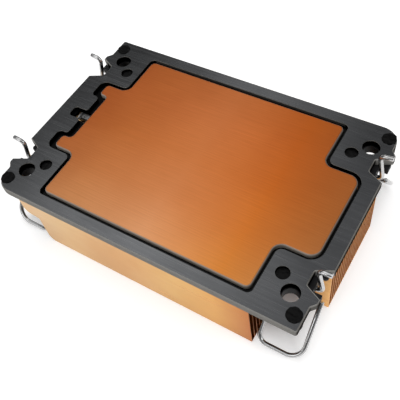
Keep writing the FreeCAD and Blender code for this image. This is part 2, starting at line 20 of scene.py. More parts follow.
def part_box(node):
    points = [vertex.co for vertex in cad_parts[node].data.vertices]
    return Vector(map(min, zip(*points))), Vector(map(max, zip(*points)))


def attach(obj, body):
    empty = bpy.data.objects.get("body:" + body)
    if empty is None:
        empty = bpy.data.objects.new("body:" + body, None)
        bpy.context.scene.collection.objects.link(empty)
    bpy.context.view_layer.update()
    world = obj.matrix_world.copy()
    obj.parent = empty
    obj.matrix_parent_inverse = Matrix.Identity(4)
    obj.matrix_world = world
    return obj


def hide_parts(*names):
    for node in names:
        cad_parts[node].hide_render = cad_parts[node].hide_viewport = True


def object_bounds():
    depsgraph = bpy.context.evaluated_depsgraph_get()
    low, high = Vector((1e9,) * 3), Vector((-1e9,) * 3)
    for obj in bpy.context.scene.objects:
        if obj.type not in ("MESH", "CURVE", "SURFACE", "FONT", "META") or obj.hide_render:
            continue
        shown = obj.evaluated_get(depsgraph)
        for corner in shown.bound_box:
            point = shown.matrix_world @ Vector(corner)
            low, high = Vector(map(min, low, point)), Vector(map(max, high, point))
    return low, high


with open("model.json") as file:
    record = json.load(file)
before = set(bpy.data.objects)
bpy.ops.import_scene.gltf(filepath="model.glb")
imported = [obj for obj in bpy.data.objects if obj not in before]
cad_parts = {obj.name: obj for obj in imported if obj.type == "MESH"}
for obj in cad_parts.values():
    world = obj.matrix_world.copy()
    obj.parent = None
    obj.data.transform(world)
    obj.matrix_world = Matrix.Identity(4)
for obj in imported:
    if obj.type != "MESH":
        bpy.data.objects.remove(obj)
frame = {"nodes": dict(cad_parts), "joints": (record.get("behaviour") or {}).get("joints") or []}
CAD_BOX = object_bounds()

LOG = logging.getLogger("heatsink")
ROOT_BODY = "heatsink"

Socket = bpy.types.NodeSocket
Colour = tuple[float, float, float]
BLACK: Colour = (0.0, 0.0, 0.0)
WHITE: Colour = (1.0, 1.0, 1.0)


# ---------------------------------------------------------------------------------------------
# Modelling helpers

# Points that lie nearer than this are one: in a new mesh, in a bent wire and in a node's copy
NEW_WELD = 1e-7
WIRE_WELD = 1e-6
NODE_WELD = 2e-6

# In a node's copy, triangles that meet at less than the first angle are joined, edges sharper
# than the second are rounded off in so many steps, and shading breaks at the third alone
FLAT_DEG = 0.5
SHARP_DEG = 35.0
EDGE_STEPS = 2
CRISP_DEG = 60.0
FACE_WEIGHT = 100

# A face points along an axis where its normal has at least this much of it
POINTS_ALONG = 0.9


def deselect_all() -> None:
    """Leave object mode with nothing selected."""
    if bpy.context.object is not None and bpy.context.object.mode != "OBJECT":
        bpy.ops.object.mode_set(mode="OBJECT")
    bpy.ops.object.select_all(action="DESELECT")


def work_on(piece: bpy.types.Object) -> None:
    """Select one piece alone and make it active.

    Args:
        piece: The object to work on.
    """
    deselect_all()
    piece.select_set(True)
    bpy.context.view_layer.objects.active = piece


def settle(piece: bpy.types.Object, smooth_deg: float) -> bpy.types.Object:
    """Bake the piece's place into its mesh, point its faces outwards and smooth its curves.

    Args:
        piece: The finished object.
        smooth_deg: Edges sharper than this stay crisp.

    Returns:
        The same object, at the origin.
    """
    work_on(piece)
    bpy.ops.object.transform_apply(location=True, rotation=True, scale=True)
    bpy.ops.object.mode_set(mode="EDIT")
    bpy.ops.mesh.select_all(action="SELECT")
    bpy.ops.mesh.remove_doubles(threshold=NEW_WELD)
    bpy.ops.mesh.normals_make_consistent(inside=False)
    bpy.ops.object.mode_set(mode="OBJECT")
    bpy.ops.object.shade_smooth_by_angle(angle=math.radians(smooth_deg))
    deselect_all()
    return piece


def add_modifier(piece: bpy.types.Object, kind: str, **settings: object) -> None:
    """Add a modifier with its settings and apply it.

    Args:
        piece: The object that gets it.
        kind: Blender's name of the modifier type.
        settings: Values for the modifier's properties.
    """
    work_on(piece)
    modifier = piece.modifiers.new(kind.lower(), kind)
    for key, value in settings.items():
        setattr(modifier, key, value)
    bpy.ops.object.modifier_apply(modifier=modifier.name)


def select_faces(piece: bpy.types.Object, wanted: Callable[[bpy.types.MeshPolygon], bool]) -> None:
    """Select the faces that a test picks, ready for edit mode.

    Args:
        piece: The object, in object mode on return as on call.
        wanted: Says of each face whether it is selected.
    """
    work_on(piece)
    bpy.ops.object.mode_set(mode="EDIT")
    bpy.ops.mesh.select_mode(type="FACE")
    bpy.ops.mesh.select_all(action="DESELECT")
    bpy.ops.object.mode_set(mode="OBJECT")
    for face in piece.data.polygons:
        face.select = wanted(face)


def softened_copy(node: str, name: str, edge: float) -> bpy.types.Object:
    """Copy a node's mesh, join its triangles and round its sharp edges.

    Args:
        node: The CAD node that the copy will stand for.
        name: The new piece's name.
        edge: Width of the rounding.

    Returns:
        The new object.
    """
    piece = bpy.data.objects.new(name, frame["nodes"][node].data.copy())
    bpy.context.scene.collection.objects.link(piece)
    work_on(piece)
    bpy.ops.object.mode_set(mode="EDIT")
    bpy.ops.mesh.select_all(action="SELECT")
    bpy.ops.mesh.customdata_custom_splitnormals_clear()
    bpy.ops.mesh.remove_doubles(threshold=NODE_WELD)
    bpy.ops.mesh.dissolve_limited(angle_limit=math.radians(FLAT_DEG))
    bpy.ops.object.mode_set(mode="OBJECT")
    add_modifier(
        piece,
        "BEVEL",
        width=edge,
        segments=EDGE_STEPS,
        limit_method="ANGLE",
        angle_limit=math.radians(SHARP_DEG),
        miter_outer="MITER_ARC",
    )
    settle(piece, CRISP_DEG)
    add_modifier(piece, "WEIGHTED_NORMAL", weight=FACE_WEIGHT, keep_sharp=True)
    return piece


# ---------------------------------------------------------------------------------------------
# Finishes

# Octaves of each pattern's noise, and the share of each finer octave
LINE_NOISE = (4.0, 0.6)
CLOUD_NOISE = (3.0, 0.55)
GRAIN_NOISE = (5.0, 0.65)

# The parts of a noise's range over which its two colours or its two values change over
LINE_BAND = (0.32, 0.68)
CLOUD_BAND = (0.35, 0.65)
GRAIN_BAND = (0.35, 0.7)
MIDDLE_BAND = (0.3, 0.7)

RISING = (0.0, 1.0)
FALLING = (1.0, 0.0)

# The upright share of a face's direction, from a bevel to a level top
LEVEL_BAND = (0.80, 0.97)
GRAIN_STRENGTH = 0.6


class Lay(Enum):
    """The direction in which a surface was brushed, drawn or rolled: its lines' fineness."""

    ALONG_X = (1.0, 40.0, 40.0)
    NONE = (12.0, 12.0, 12.0)


class Axis(Enum):
    """An axis of a place or of a direction."""

    X = "X"
    Y = "Y"
    Z = "Z"


class Operation(Enum):
    """How two values make a third one."""

    PRODUCT = "MULTIPLY"
    LARGER = "MAXIMUM"


@dataclass(frozen=True)
class SunkBox:
    """A space below a part's top and inside its outline, where hardly any light gets, painted
    black as shade.
    """

    left: float
    right: float
    side: float
    bottom: float
    top: float
    fade: float = 0.0003


class NodeTree:
    """A shader's nodes, with short calls for those that the finishes and the studio share."""

    def __init__(self, tree: bpy.types.NodeTree) -> None:
        """Add the coordinates that the patterns follow.

        Args:
            tree: The tree of a material or of the world.
        """
        self.tree = tree
        self.coordinates = self.add("ShaderNodeTexCoord").outputs

    def add(self, kind: str) -> bpy.types.Node:
        """Add a node, by Blender's name of its type."""
        return self.tree.nodes.new(kind)

    def join(self, source: Socket, target: Socket) -> None:
        """Link an output socket to an input socket."""
        self.tree.links.new(source, target)

    def axis(self, axis: Axis, vector: Socket) -> Socket:
        """Take one axis out of a vector.

        Args:
            axis: The axis.
            vector: The socket of a place or of a direction.

        Returns:
            The axis's value socket.
        """
        split = self.add("ShaderNodeSeparateXYZ")
        self.join(vector, split.inputs["Vector"])
        return split.outputs[axis.value]

    def combine(self, operation: Operation, first: Socket, second: Socket) -> Socket:
        """Make one value of two.

        Args:
            operation: How they are combined.
            first: A value socket.
            second: Another one.

        Returns:
            The result's socket.
        """
        node = self.add("ShaderNodeMath")
        node.operation = operation.value
        self.join(first, node.inputs[0])
        self.join(second, node.inputs[1])
        return node.outputs[0]

    def span(
        self,
        source: Socket,
        ends: tuple[float, float],
        band: tuple[float, float] = MIDDLE_BAND,
        ease: bool = False,
    ) -> Socket:
        """Map a band of a value to a range.

        Args:
            source: The value's socket.
            ends: Results at the band's lower and upper end.
            band: Lower and upper end of the band.
            ease: Whether the result sets out and arrives gently.

        Returns:
            The mapped socket.
        """
        node = self.add("ShaderNodeMapRange")
        if ease:
            node.interpolation_type = "SMOOTHSTEP"
        node.inputs["From Min"].default_value, node.inputs["From Max"].default_value = band
        node.inputs["To Min"].default_value, node.inputs["To Max"].default_value = ends
        self.join(source, node.inputs["Value"])
        return node.outputs["Result"]

    def ramp(self, source: Socket, stops: Iterable[tuple[float, Colour]]) -> Socket:
        """Colour a value by stops.

        Args:
            source: The value's socket.
            stops: Each stop's place and its colour.

        Returns:
            The colour's socket.
        """
        ramp = self.add("ShaderNodeValToRGB")
        elements = ramp.color_ramp.elements
        stops = list(stops)
        while len(elements) < len(stops):
            elements.new(0.5)
        for element, (position, colour) in zip(elements, stops):
            element.position = position
            element.color = (*colour, 1.0)
        self.join(source, ramp.inputs["Fac"])
        return ramp.outputs["Color"]

    def multiply(self, first: Socket, second: Socket, amount: float) -> Socket:
        """Multiply two colours.

        Args:
            first: The colour's socket.
            second: The socket of the colour that it is multiplied by.
            amount: How much of the change is made.

        Returns:
            The result's socket.
        """
        mix = self.add("ShaderNodeMix")
        mix.data_type = "RGBA"
        mix.blend_type = "MULTIPLY"
        mix.inputs["Factor"].default_value = amount
        self.join(first, mix.inputs["A"])
        self.join(second, mix.inputs["B"])
        return mix.outputs["Result"]

    def cover(self, colour: Socket, other: Colour, amount: Socket) -> Socket:
        """Cover a colour by another one where a value is high.

        Args:
            colour: The socket of the colour below.
            other: The colour on top.
            amount: The value's socket.

        Returns:
            The mixed colour's socket.
        """
        mix = self.add("ShaderNodeMix")
        mix.data_type = "RGBA"
        mix.inputs["B"].default_value = (*other, 1.0)
        self.join(colour, mix.inputs["A"])
        self.join(amount, mix.inputs["Factor"])
        return mix.outputs["Result"]

    def seen_rays(self) -> Socket:
        """Tell the rays that show a background from those that light the object.

        Returns:
            The socket, 1 for camera, glossy and transmission rays and 0 for the rest.
        """
        rays = self.add("ShaderNodeLightPath").outputs
        seen = rays["Is Camera Ray"]
        for kind in ("Is Glossy Ray", "Is Transmission Ray"):
            seen = self.combine(Operation.LARGER, seen, rays[kind])
        return seen


class NodeSheet(NodeTree):
    """A new material's nodes: its shader, and the patterns that the object's finishes share."""

    def __init__(self, name: str) -> None:
        """Make the material with its shader alone.

        Args:
            name: The material's name.
        """
        self.material = bpy.data.materials.new(name)
        self.material.use_nodes = True
        super().__init__(self.material.node_tree)
        self.shader = self.tree.nodes["Principled BSDF"]
        self.place = self.coordinates["Object"]
        self.facing = self.coordinates["Normal"]

    def noise(self, frequency: Iterable[float], character: tuple[float, float]) -> Socket:
        """Add a noise that may be finer along some axes than others.

        Args:
            frequency: Cycles per metre along X, Y and Z.
            character: The number of octaves, and the share of each finer one.

        Returns:
            The noise's socket, from 0 to 1.
        """
        mapping = self.add("ShaderNodeMapping")
        mapping.inputs["Scale"].default_value = tuple(frequency)
        noise = self.add("ShaderNodeTexNoise")
        noise.inputs["Scale"].default_value = 1.0
        noise.inputs["Detail"].default_value, noise.inputs["Roughness"].default_value = character
        self.join(self.place, mapping.inputs["Vector"])
        self.join(mapping.outputs["Vector"], noise.inputs["Vector"])
        return noise.outputs["Fac"]

    def paint_light_along(
        self, colour: Socket, tints: tuple[Colour, ...], along: Socket, reach: float
    ) -> Socket:
        """Paint light and shade into a colour: multiply it by tints that follow each other evenly
        along an axis.

        Args:
            colour: The colour's socket.
            tints: The tints, from the axis's low end to its high one.
            along: The axis's value socket.
            reach: The value at the high end, and less than nothing at the low one.

        Returns:
            The tinted colour's socket.
        """
        share = 1.0 / (len(tints) - 1)
        stops = [(index * share, tint) for index, tint in enumerate(tints)]
        tint = self.ramp(self.span(along, RISING, (-reach, reach)), stops)
        return self.multiply(colour, tint, 1.0)

    def steep(self) -> Socket:
        """Return a socket that is 0 on a level top and 1 from a bevel to an upright wall."""
        return self.span(self.axis(Axis.Z, self.facing), FALLING, LEVEL_BAND)

    def sunk(self, box: SunkBox) -> Socket:
        """Tell what lies below the top and inside the outline.

        Args:
            box: The space that counts as sunk.

        Returns:
            The socket, 1 inside the space and 0 outside it.
        """
        inside = self.span(self.axis(Axis.Z, self.place), FALLING, (box.bottom, box.top))
        for axis, low, high in ((Axis.X, box.left, box.right), (Axis.Y, -box.side, box.side)):
            place = self.axis(axis, self.place)
            for band in ((low, low + box.fade), (high, high - box.fade)):
                inside = self.combine(Operation.PRODUCT, inside, self.span(place, RISING, band))
        return inside

    def bump(self, source: Socket, height: float, strength: float) -> None:
        """Raise the surface by a value.

        Args:
            source: The socket that gives the height.
            height: Distance from the lowest to the highest point.
            strength: How strongly it shows.
        """
        bump = self.add("ShaderNodeBump")
        bump.inputs["Distance"].default_value = height
        bump.inputs["Strength"].default_value = strength
        self.join(source, bump.inputs["Height"])
        self.join(bump.outputs["Normal"], self.shader.inputs["Normal"])


@dataclass(frozen=True)
class StreakedMetal:
    """Bare or coated metal with the fine lines of the tool that finished it."""

    name: str
    light: Colour
    dark: Colour
    metallic: float
    roughness: tuple[float, float]
    lay: Lay
    line_frequency: float
    line_depth: float
    line_strength: float
    cloud_frequency: float
    cloud: Colour
    cloud_amount: float
    specular: float = 0.5
    glancing: Colour = WHITE
    coat: float = 0.0
    coat_roughness: float = 0.3
    # Painted light: walls and bevels take this colour of their own, by their facing
    side: Optional[Colour] = None
    # Tints along X and along Y: painted light and shade on the surface
    painted_light_x: tuple[Colour, ...] = ()
    painted_light_y: tuple[Colour, ...] = ()
    # Tints by the normal's X: painted shade on faces towards +X
    painted_shade_facing_x: tuple[Colour, ...] = ()
    half_length: float = 0.056
    half_width: float = 0.034
    sunk: Optional[SunkBox] = None

    def streaks(self, sheet: NodeSheet, lines: Socket) -> Socket:
        """Colour the lines, and lay clouds over them.

        Args:
            sheet: The material's nodes.
            lines: The socket of the lines' noise.

        Returns:
            The colour's socket.
        """
        clouds = sheet.noise([self.cloud_frequency] * 3, CLOUD_NOISE)
        base = sheet.ramp(lines, zip(LINE_BAND, (self.dark, self.light)))
        patches = sheet.ramp(clouds, zip(CLOUD_BAND, (self.cloud, WHITE)))
        return sheet.multiply(base, patches, self.cloud_amount)

    def painted_wall_light(self, sheet: NodeSheet, colour: Socket) -> Socket:
        """Paint light onto walls and broken edges: a colour of their own, without the top's shine.

        Args:
            sheet: The material's nodes.
            colour: The top's colour socket.

        Returns:
            The colour's socket.
        """
        steep = sheet.steep()
        for name, level in (("Metallic", self.metallic), ("Specular IOR Level", self.specular)):
            sheet.join(sheet.span(steep, (level, 0.0), RISING), sheet.shader.inputs[name])
        return sheet.cover(colour, self.side, steep)

    def make(self) -> bpy.types.Material:
        """Build the material.

        Returns:
            The new material.
        """
        sheet = NodeSheet(self.name)
        step = self.line_frequency / max(self.lay.value)
        lines = sheet.noise([fineness * step for fineness in self.lay.value], LINE_NOISE)
        colour = self.streaks(sheet, lines)
        shader = sheet.shader
        shader.inputs["Metallic"].default_value = self.metallic
        shader.inputs["Specular IOR Level"].default_value = self.specular
        shader.inputs["Specular Tint"].default_value = (*self.glancing, 1.0)
        shader.inputs["Coat Weight"].default_value = self.coat
        shader.inputs["Coat Roughness"].default_value = self.coat_roughness
        # Painted light and shade: tints along X and along Y
        if self.painted_light_x:
            along = sheet.axis(Axis.X, sheet.place)
            colour = sheet.paint_light_along(colour, self.painted_light_x, along, self.half_length)
        if self.painted_light_y:
            along = sheet.axis(Axis.Y, sheet.place)
            colour = sheet.paint_light_along(colour, self.painted_light_y, along, self.half_width)
        # Painted light: walls and bevels get a colour of their own, by their facing
        if self.side:
            colour = self.painted_wall_light(sheet, colour)
        # Painted shade on faces towards +X
        if self.painted_shade_facing_x:
            colour = sheet.paint_light_along(colour, self.painted_shade_facing_x, sheet.axis(Axis.X, sheet.facing), 1.0)
        # Painted shade: black over the sunk space
        if self.sunk:
            colour = sheet.cover(colour, BLACK, sheet.sunk(self.sunk))
        sheet.join(colour, shader.inputs["Base Color"])
        sheet.join(sheet.span(lines, self.roughness), shader.inputs["Roughness"])
        sheet.bump(lines, self.line_depth, self.line_strength)
        return sheet.material


@dataclass(frozen=True)
class MouldedBlack:
    """Black plastic with a fine grain."""

    name: str
    light: Colour
    dark: Colour
    roughness: tuple[float, float]
    grain_frequency: float
    grain_depth: float
    specular: float

    def make(self) -> bpy.types.Material:
        """Build the material.

        Returns:
            The new material.
        """
        sheet = NodeSheet(self.name)
        grain = sheet.noise([self.grain_frequency] * 3, GRAIN_NOISE)
        colour = sheet.ramp(grain, zip(GRAIN_BAND, (self.dark, self.light)))
        shader = sheet.shader
        shader.inputs["Specular IOR Level"].default_value = self.specular
        sheet.join(colour, shader.inputs["Base Color"])
        sheet.join(sheet.span(grain, self.roughness), shader.inputs["Roughness"])
        sheet.bump(grain, self.grain_depth, GRAIN_STRENGTH)
        return sheet.material


FRAME_BLACK = StreakedMetal(
    name="frame_satin_black",
    light=(0.150, 0.153, 0.160),
    dark=(0.105, 0.108, 0.114),
    metallic=0.85,
    roughness=(0.21, 0.29),
    lay=Lay.ALONG_X,
    line_frequency=2600.0,
    line_depth=0.000004,
    line_strength=0.35,
    cloud_frequency=60.0,
    cloud=(0.8, 0.8, 0.8),
    cloud_amount=0.7,
    # Painted light: the top darker towards both ends along X, lightest near the middle
    painted_light_x=(
        (0.72, 0.72, 0.71),
        (0.86, 0.86, 0.85),
        (0.93, 0.93, 0.92),
        (0.72, 0.72, 0.71),
        (0.60, 0.60, 0.60),
    ),
    # Painted light on walls and bevels, painted shade on faces towards +X and in the recess
    side=(0.33, 0.32, 0.30),
    painted_shade_facing_x=(WHITE, WHITE, WHITE, WHITE, (0.07, 0.06, 0.05)),
    sunk=SunkBox(left=-0.0548, right=0.0518, side=0.0343, bottom=0.0244, top=0.02465),
)

CHAMBER_COPPER = StreakedMetal(
    name="chamber_lapped_copper",
    light=(0.60, 0.182, 0.047),
    dark=(0.52, 0.148, 0.036),
    metallic=1.0,
    roughness=(0.42, 0.52),
    lay=Lay.ALONG_X,
    line_frequency=2400.0,
    line_depth=0.000004,
    line_strength=0.3,
    cloud_frequency=35.0,
    cloud=(0.90, 0.85, 0.80),
    cloud_amount=0.8,
    glancing=(1.0, 0.7, 0.4),
    coat=0.2,
    coat_roughness=0.34,
    # Painted light on walls and bevels, painted shade on faces towards +X
    side=(0.43, 0.38, 0.33),
    painted_shade_facing_x=(WHITE, WHITE, (0.25, 0.25, 0.25)),
    # Painted light with some tone change: darker at both ends along X, more orange right of the
    # middle
    painted_light_x=(
        (0.71, 0.53, 0.40),
        (0.91, 0.86, 0.74),
        (1.00, 1.02, 1.05),
        (0.94, 0.73, 0.27),
        (0.62, 0.66, 0.60),
    ),
    # Painted highlight: brighter and paler towards the front edge, less so towards the back
    painted_light_y=(
        (1.36, 2.15, 3.80),
        (1.28, 1.62, 2.20),
        (1.22, 1.32, 1.40),
        (1.24, 1.28, 1.40),
        (1.14, 1.14, 1.20),
    ),
)

FIN_COPPER = StreakedMetal(
    name="fin_rolled_copper",
    light=(0.92, 0.46, 0.20),
    dark=(0.84, 0.38, 0.15),
    metallic=0.95,
    roughness=(0.26, 0.38),
    lay=Lay.ALONG_X,
    line_frequency=900.0,
    line_depth=0.000004,
    line_strength=0.25,
    cloud_frequency=45.0,
    cloud=(0.92, 0.80, 0.66),
    cloud_amount=0.8,
    glancing=(1.0, 0.92, 0.84),
    # Painted light: paler at the left, darker orange towards the right, with a painted highlight
    # at the long fins' right ends
    painted_light_x=(
        (0.86, 1.30, 1.70),
        (0.78, 1.12, 1.50),
        (0.79, 1.10, 1.28),
        (0.76, 0.98, 1.08),
        (0.78, 0.96, 0.92),
        (0.82, 1.08, 0.92),
        (0.82, 0.94, 0.60),
        (0.50, 0.26, 0.0),
        (1.08, 1.30, 1.18),
    ),
)

TUBE_TIN = StreakedMetal(
    name="tube_tinned",
    light=(0.58, 0.58, 0.58),
    dark=(0.12, 0.12, 0.12),
    metallic=1.0,
    roughness=(0.22, 0.42),
    lay=Lay.NONE,
    line_frequency=1800.0,
    line_depth=0.00004,
    line_strength=0.6,
    cloud_frequency=500.0,
    cloud=(0.35, 0.35, 0.35),
    cloud_amount=0.9,
)

WIRE_STEEL = StreakedMetal(
    name="wire_bright_steel",
    light=(0.62, 0.62, 0.63),
    dark=(0.48, 0.48, 0.48),
    metallic=1.0,
    roughness=(0.16, 0.28),
    lay=Lay.NONE,
    line_frequency=2200.0,
    line_depth=0.000005,
    line_strength=0.3,
    cloud_frequency=180.0,
    cloud=(0.85, 0.84, 0.82),
    cloud_amount=0.8,
)

RETAINER_BLACK = MouldedBlack(
    name="retainer_matt_black",
    light=(0.011, 0.011, 0.012),
    dark=(0.005, 0.005, 0.006),
    roughness=(0.5, 0.65),
    grain_frequency=3500.0,
    grain_depth=0.00003,
    specular=0.25,
)

STAKE_BLACK = MouldedBlack(
    name="stake_rough_black",
    light=(0.002, 0.002, 0.0022),
    dark=(0.0003, 0.0003, 0.0003),
    roughness=(0.2, 0.6),
    grain_frequency=1800.0,
    grain_depth=0.00025,
    specular=0.12,
)


def dress(piece: bpy.types.Object, material: bpy.types.Material) -> None:
    """Give a piece its only material.

    Args:
        piece: The object.
        material: Its finish.
    """
    piece.data.materials.clear()
    piece.data.materials.append(material)
    for face in piece.data.polygons:
        face.material_index = 0


# ---------------------------------------------------------------------------------------------
# Corners


class Corner(Enum):
    """The four corners: their signs along X and Y, and how many degrees their wires lean."""

    FRONT_RIGHT = (1, -1, 2.5)
    FRONT_LEFT = (-1, -1, -0.5)
    BACK_RIGHT = (1, 1, -3.0)
    BACK_LEFT = (-1, 1, -0.5)

    @property
    def label(self) -> str:
        """The corner's name as the nodes spell it."""
        return self.name.lower()

    @property
    def lean_deg(self) -> float:
        """How far the corner's wire leans outwards at rest."""
        return self.value[2]

    def mirrored(self, point: Vector) -> Vector:
        """Return a back right point mirrored into this corner."""
        return Vector((point.x * self.value[0], point.y * self.value[1], point.z))


# ---------------------------------------------------------------------------------------------
# Mounting frame


@dataclass
class MountingFrame:
    """The black plate, with its sharp edges just broken."""

    edge: float = 0.00014

    def build(self) -> bpy.types.Object:
        """Make the plate's softened copy and let it stand for the node.

        Returns:
            The new piece.
        """
        piece = softened_copy("mounting_frame", "frame_plate", self.edge)
        dress(piece, FRAME_BLACK.make())
        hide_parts("mounting_frame")
        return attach(piece, ROOT_BODY)


# ---------------------------------------------------------------------------------------------
# Vapour chamber and fill tube


@dataclass
class VaporChamber:
    """The sealed copper slab and the crimped tube at its left end.

    Each step of the crimp has its length, and by how much it is widened and flattened.
    """

    edge: float = 0.00022
    round_length: float = 0.0026
    crimp_steps: tuple[tuple[float, float, float], ...] = (
        (0.0005, 1.02, 0.86),
        (0.0006, 1.14, 0.46),
        (0.0004, 1.06, 0.72),
        (0.0007, 1.04, 0.98),
    )
    end_inset: float = 0.00012
    end_bulge: float = 0.00006
    tube_sides: int = 32
    tube_smooth_deg: float = 40.0

    def build_slab(self) -> bpy.types.Object:
        """Make the slab's softened copy.

        Returns:
            The new piece.
        """
        piece = softened_copy("vapor_chamber", "chamber_slab", self.edge)
        dress(piece, CHAMBER_COPPER.make())
        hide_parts("vapor_chamber")
        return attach(piece, ROOT_BODY)

    def build_tube(self) -> bpy.types.Object:
        """Model the fill tube: a round stub that is pinched flat towards its end.

        Returns:
            The new piece.
        """
        low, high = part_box("fill_tube")
        radius = (high.z - low.z) / 2
        centre = Vector((high.x - self.round_length / 2, 0.0, (low.z + high.z) / 2))
        deselect_all()
        bpy.ops.mesh.primitive_cylinder_add(
            vertices=self.tube_sides,
            radius=radius,
            depth=self.round_length,
            location=centre,
            rotation=(0.0, math.radians(-90), 0.0),
        )
        piece = bpy.context.object
        piece.name = "fill_tube_crimped"
        bpy.ops.object.transform_apply(location=True, rotation=True, scale=True)
        select_faces(piece, lambda face: face.normal.x < -POINTS_ALONG)
        bpy.ops.object.mode_set(mode="EDIT")
        reach = high.x - self.round_length
        for length, widen, flatten in self.crimp_steps:
            reach -= length
            bpy.ops.mesh.extrude_region_move(TRANSFORM_OT_translate={"value": (-length, 0, 0)})
            bpy.ops.transform.resize(
                value=(1, widen, flatten), center_override=(reach, centre.y, centre.z)
            )
        bpy.ops.mesh.inset(thickness=self.end_inset)
        bpy.ops.transform.translate(value=(-self.end_bulge, 0, 0))
        bpy.ops.object.mode_set(mode="OBJECT")
        settle(piece, self.tube_smooth_deg)
        dress(piece, TUBE_TIN.make())
        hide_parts("fill_tube")
        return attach(piece, ROOT_BODY)

    def build(self) -> list[bpy.types.Object]:
        """Make both pieces.

        Returns:
            The slab and the tube.
        """
        return [self.build_slab(), self.build_tube()]


# ---------------------------------------------------------------------------------------------
# Fins


@dataclass
class FinStack:
    """The folded copper fins, which keep their solids and get their finish."""

    prefix: str = "fin_"

    def build(self) -> list[bpy.types.Object]:
        """Dress every fin.

        Returns:
            The fins' objects.
        """
        material = FIN_COPPER.make()
        names = sorted(name for name in frame["nodes"] if name.startswith(self.prefix))
        fins = [frame["nodes"][name] for name in names]
        for fin in fins:
            dress(fin, material)
        return fins


# ---------------------------------------------------------------------------------------------
# Wire retainers


@dataclass
class WireRetainers:
    """The four black mouldings, with the rough heads of their stakes.

    Centres are those of the back right corner. The mouldings' outer posts end level with the rim
    of their heads, so they are lowered to let the torn heads show.
    """

    edge: float = 0.00012
    inner_centre: tuple[float, float] = (0.04385, 0.0239)
    inner_radius: float = 0.0021
    inner_top: float = 0.0235
    outer_centre: tuple[float, float] = (0.05225, 0.0339)
    outer_radius: float = 0.0024
    outer_top: float = 0.02505
    plate_top: float = 0.02482
    post_drop: float = 0.0006
    head_height: float = 0.0003
    head_sides: int = 36
    head_rings: tuple[float, ...] = (0.12, 0.2, 0.22, 0.22)
    head_cuts: int = 1
    head_smooth_deg: float = 25.0
    roughness: float = 0.0006
    lump_size: float = 0.0011
    lump_octaves: int = 3
    lump_level: float = 0.62

    def stake_head(
        self, name: str, centre: Vector, radius: float, roughness: float
    ) -> bpy.types.Object:
        """Model one rough head: a low button whose top and rim are torn.

        Args:
            name: The head's name.
            centre: Middle of its underside.
            radius: Radius of the button.
            roughness: Height of its lumps.

        Returns:
            The new piece.
        """
        deselect_all()
        bpy.ops.mesh.primitive_cylinder_add(
            vertices=self.head_sides,
            radius=radius,
            depth=self.head_height,
            location=centre + Vector((0, 0, self.head_height / 2)),
        )
        piece = bpy.context.object
        piece.name = name
        bpy.ops.object.transform_apply(location=True, rotation=True, scale=True)
        select_faces(piece, lambda face: face.normal.z > POINTS_ALONG)
        bpy.ops.object.mode_set(mode="EDIT")
        for share in self.head_rings:
            bpy.ops.mesh.inset(thickness=radius * share)
        bpy.ops.mesh.poke()
        bpy.ops.mesh.select_all(action="SELECT")
        bpy.ops.mesh.subdivide(number_cuts=self.head_cuts)
        bpy.ops.object.mode_set(mode="OBJECT")
        lumps = bpy.data.textures.new(name + "_lumps", "CLOUDS")
        lumps.noise_scale = self.lump_size
        lumps.noise_depth = self.lump_octaves
        add_modifier(
            piece,
            "DISPLACE",
            texture=lumps,
            texture_coords="LOCAL",
            direction="NORMAL",
            strength=roughness,
            mid_level=self.lump_level,
        )
        return settle(piece, self.head_smooth_deg)

    def moulding(self, corner: Corner, material: bpy.types.Material) -> bpy.types.Object:
        """Make one moulding's softened copy and lower its outer post.

        Args:
            corner: The corner it sits under.
            material: Its finish.

        Returns:
            The new piece.
        """
        node = "wire_retainer_" + corner.label
        piece = softened_copy(node, "retainer_" + corner.label, self.edge)
        for vertex in piece.data.vertices:
            if vertex.co.z > self.plate_top:
                vertex.co.z -= self.post_drop
        dress(piece, material)
        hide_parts(node)
        return piece

    def heads(self, corner: Corner, material: bpy.types.Material) -> list[bpy.types.Object]:
        """Model the rough heads of one moulding's two posts.

        Args:
            corner: The corner they stand in.
            material: Their finish.

        Returns:
            The outer head and the inner one.
        """
        outer = corner.mirrored(Vector((*self.outer_centre, self.outer_top - self.head_height)))
        inner = corner.mirrored(Vector((*self.inner_centre, self.inner_top)))
        heads = [
            self.stake_head(
                "stake_outer_" + corner.label, outer, self.outer_radius, self.roughness
            ),
            self.stake_head(
                "stake_inner_" + corner.label, inner, self.inner_radius, self.roughness / 2
            ),
        ]
        for head in heads:
            dress(head, material)
        return heads

    def build(self) -> list[bpy.types.Object]:
        """Dress the mouldings and add their stake heads.

        Returns:
            All the pieces.
        """
        moulded = RETAINER_BLACK.make()
        rough = STAKE_BLACK.make()
        pieces = []
        for corner in Corner:
            for piece in [self.moulding(corner, moulded), *self.heads(corner, rough)]:
                pieces.append(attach(piece, ROOT_BODY))
        return pieces


# ---------------------------------------------------------------------------------------------
# Anti-tilt wires


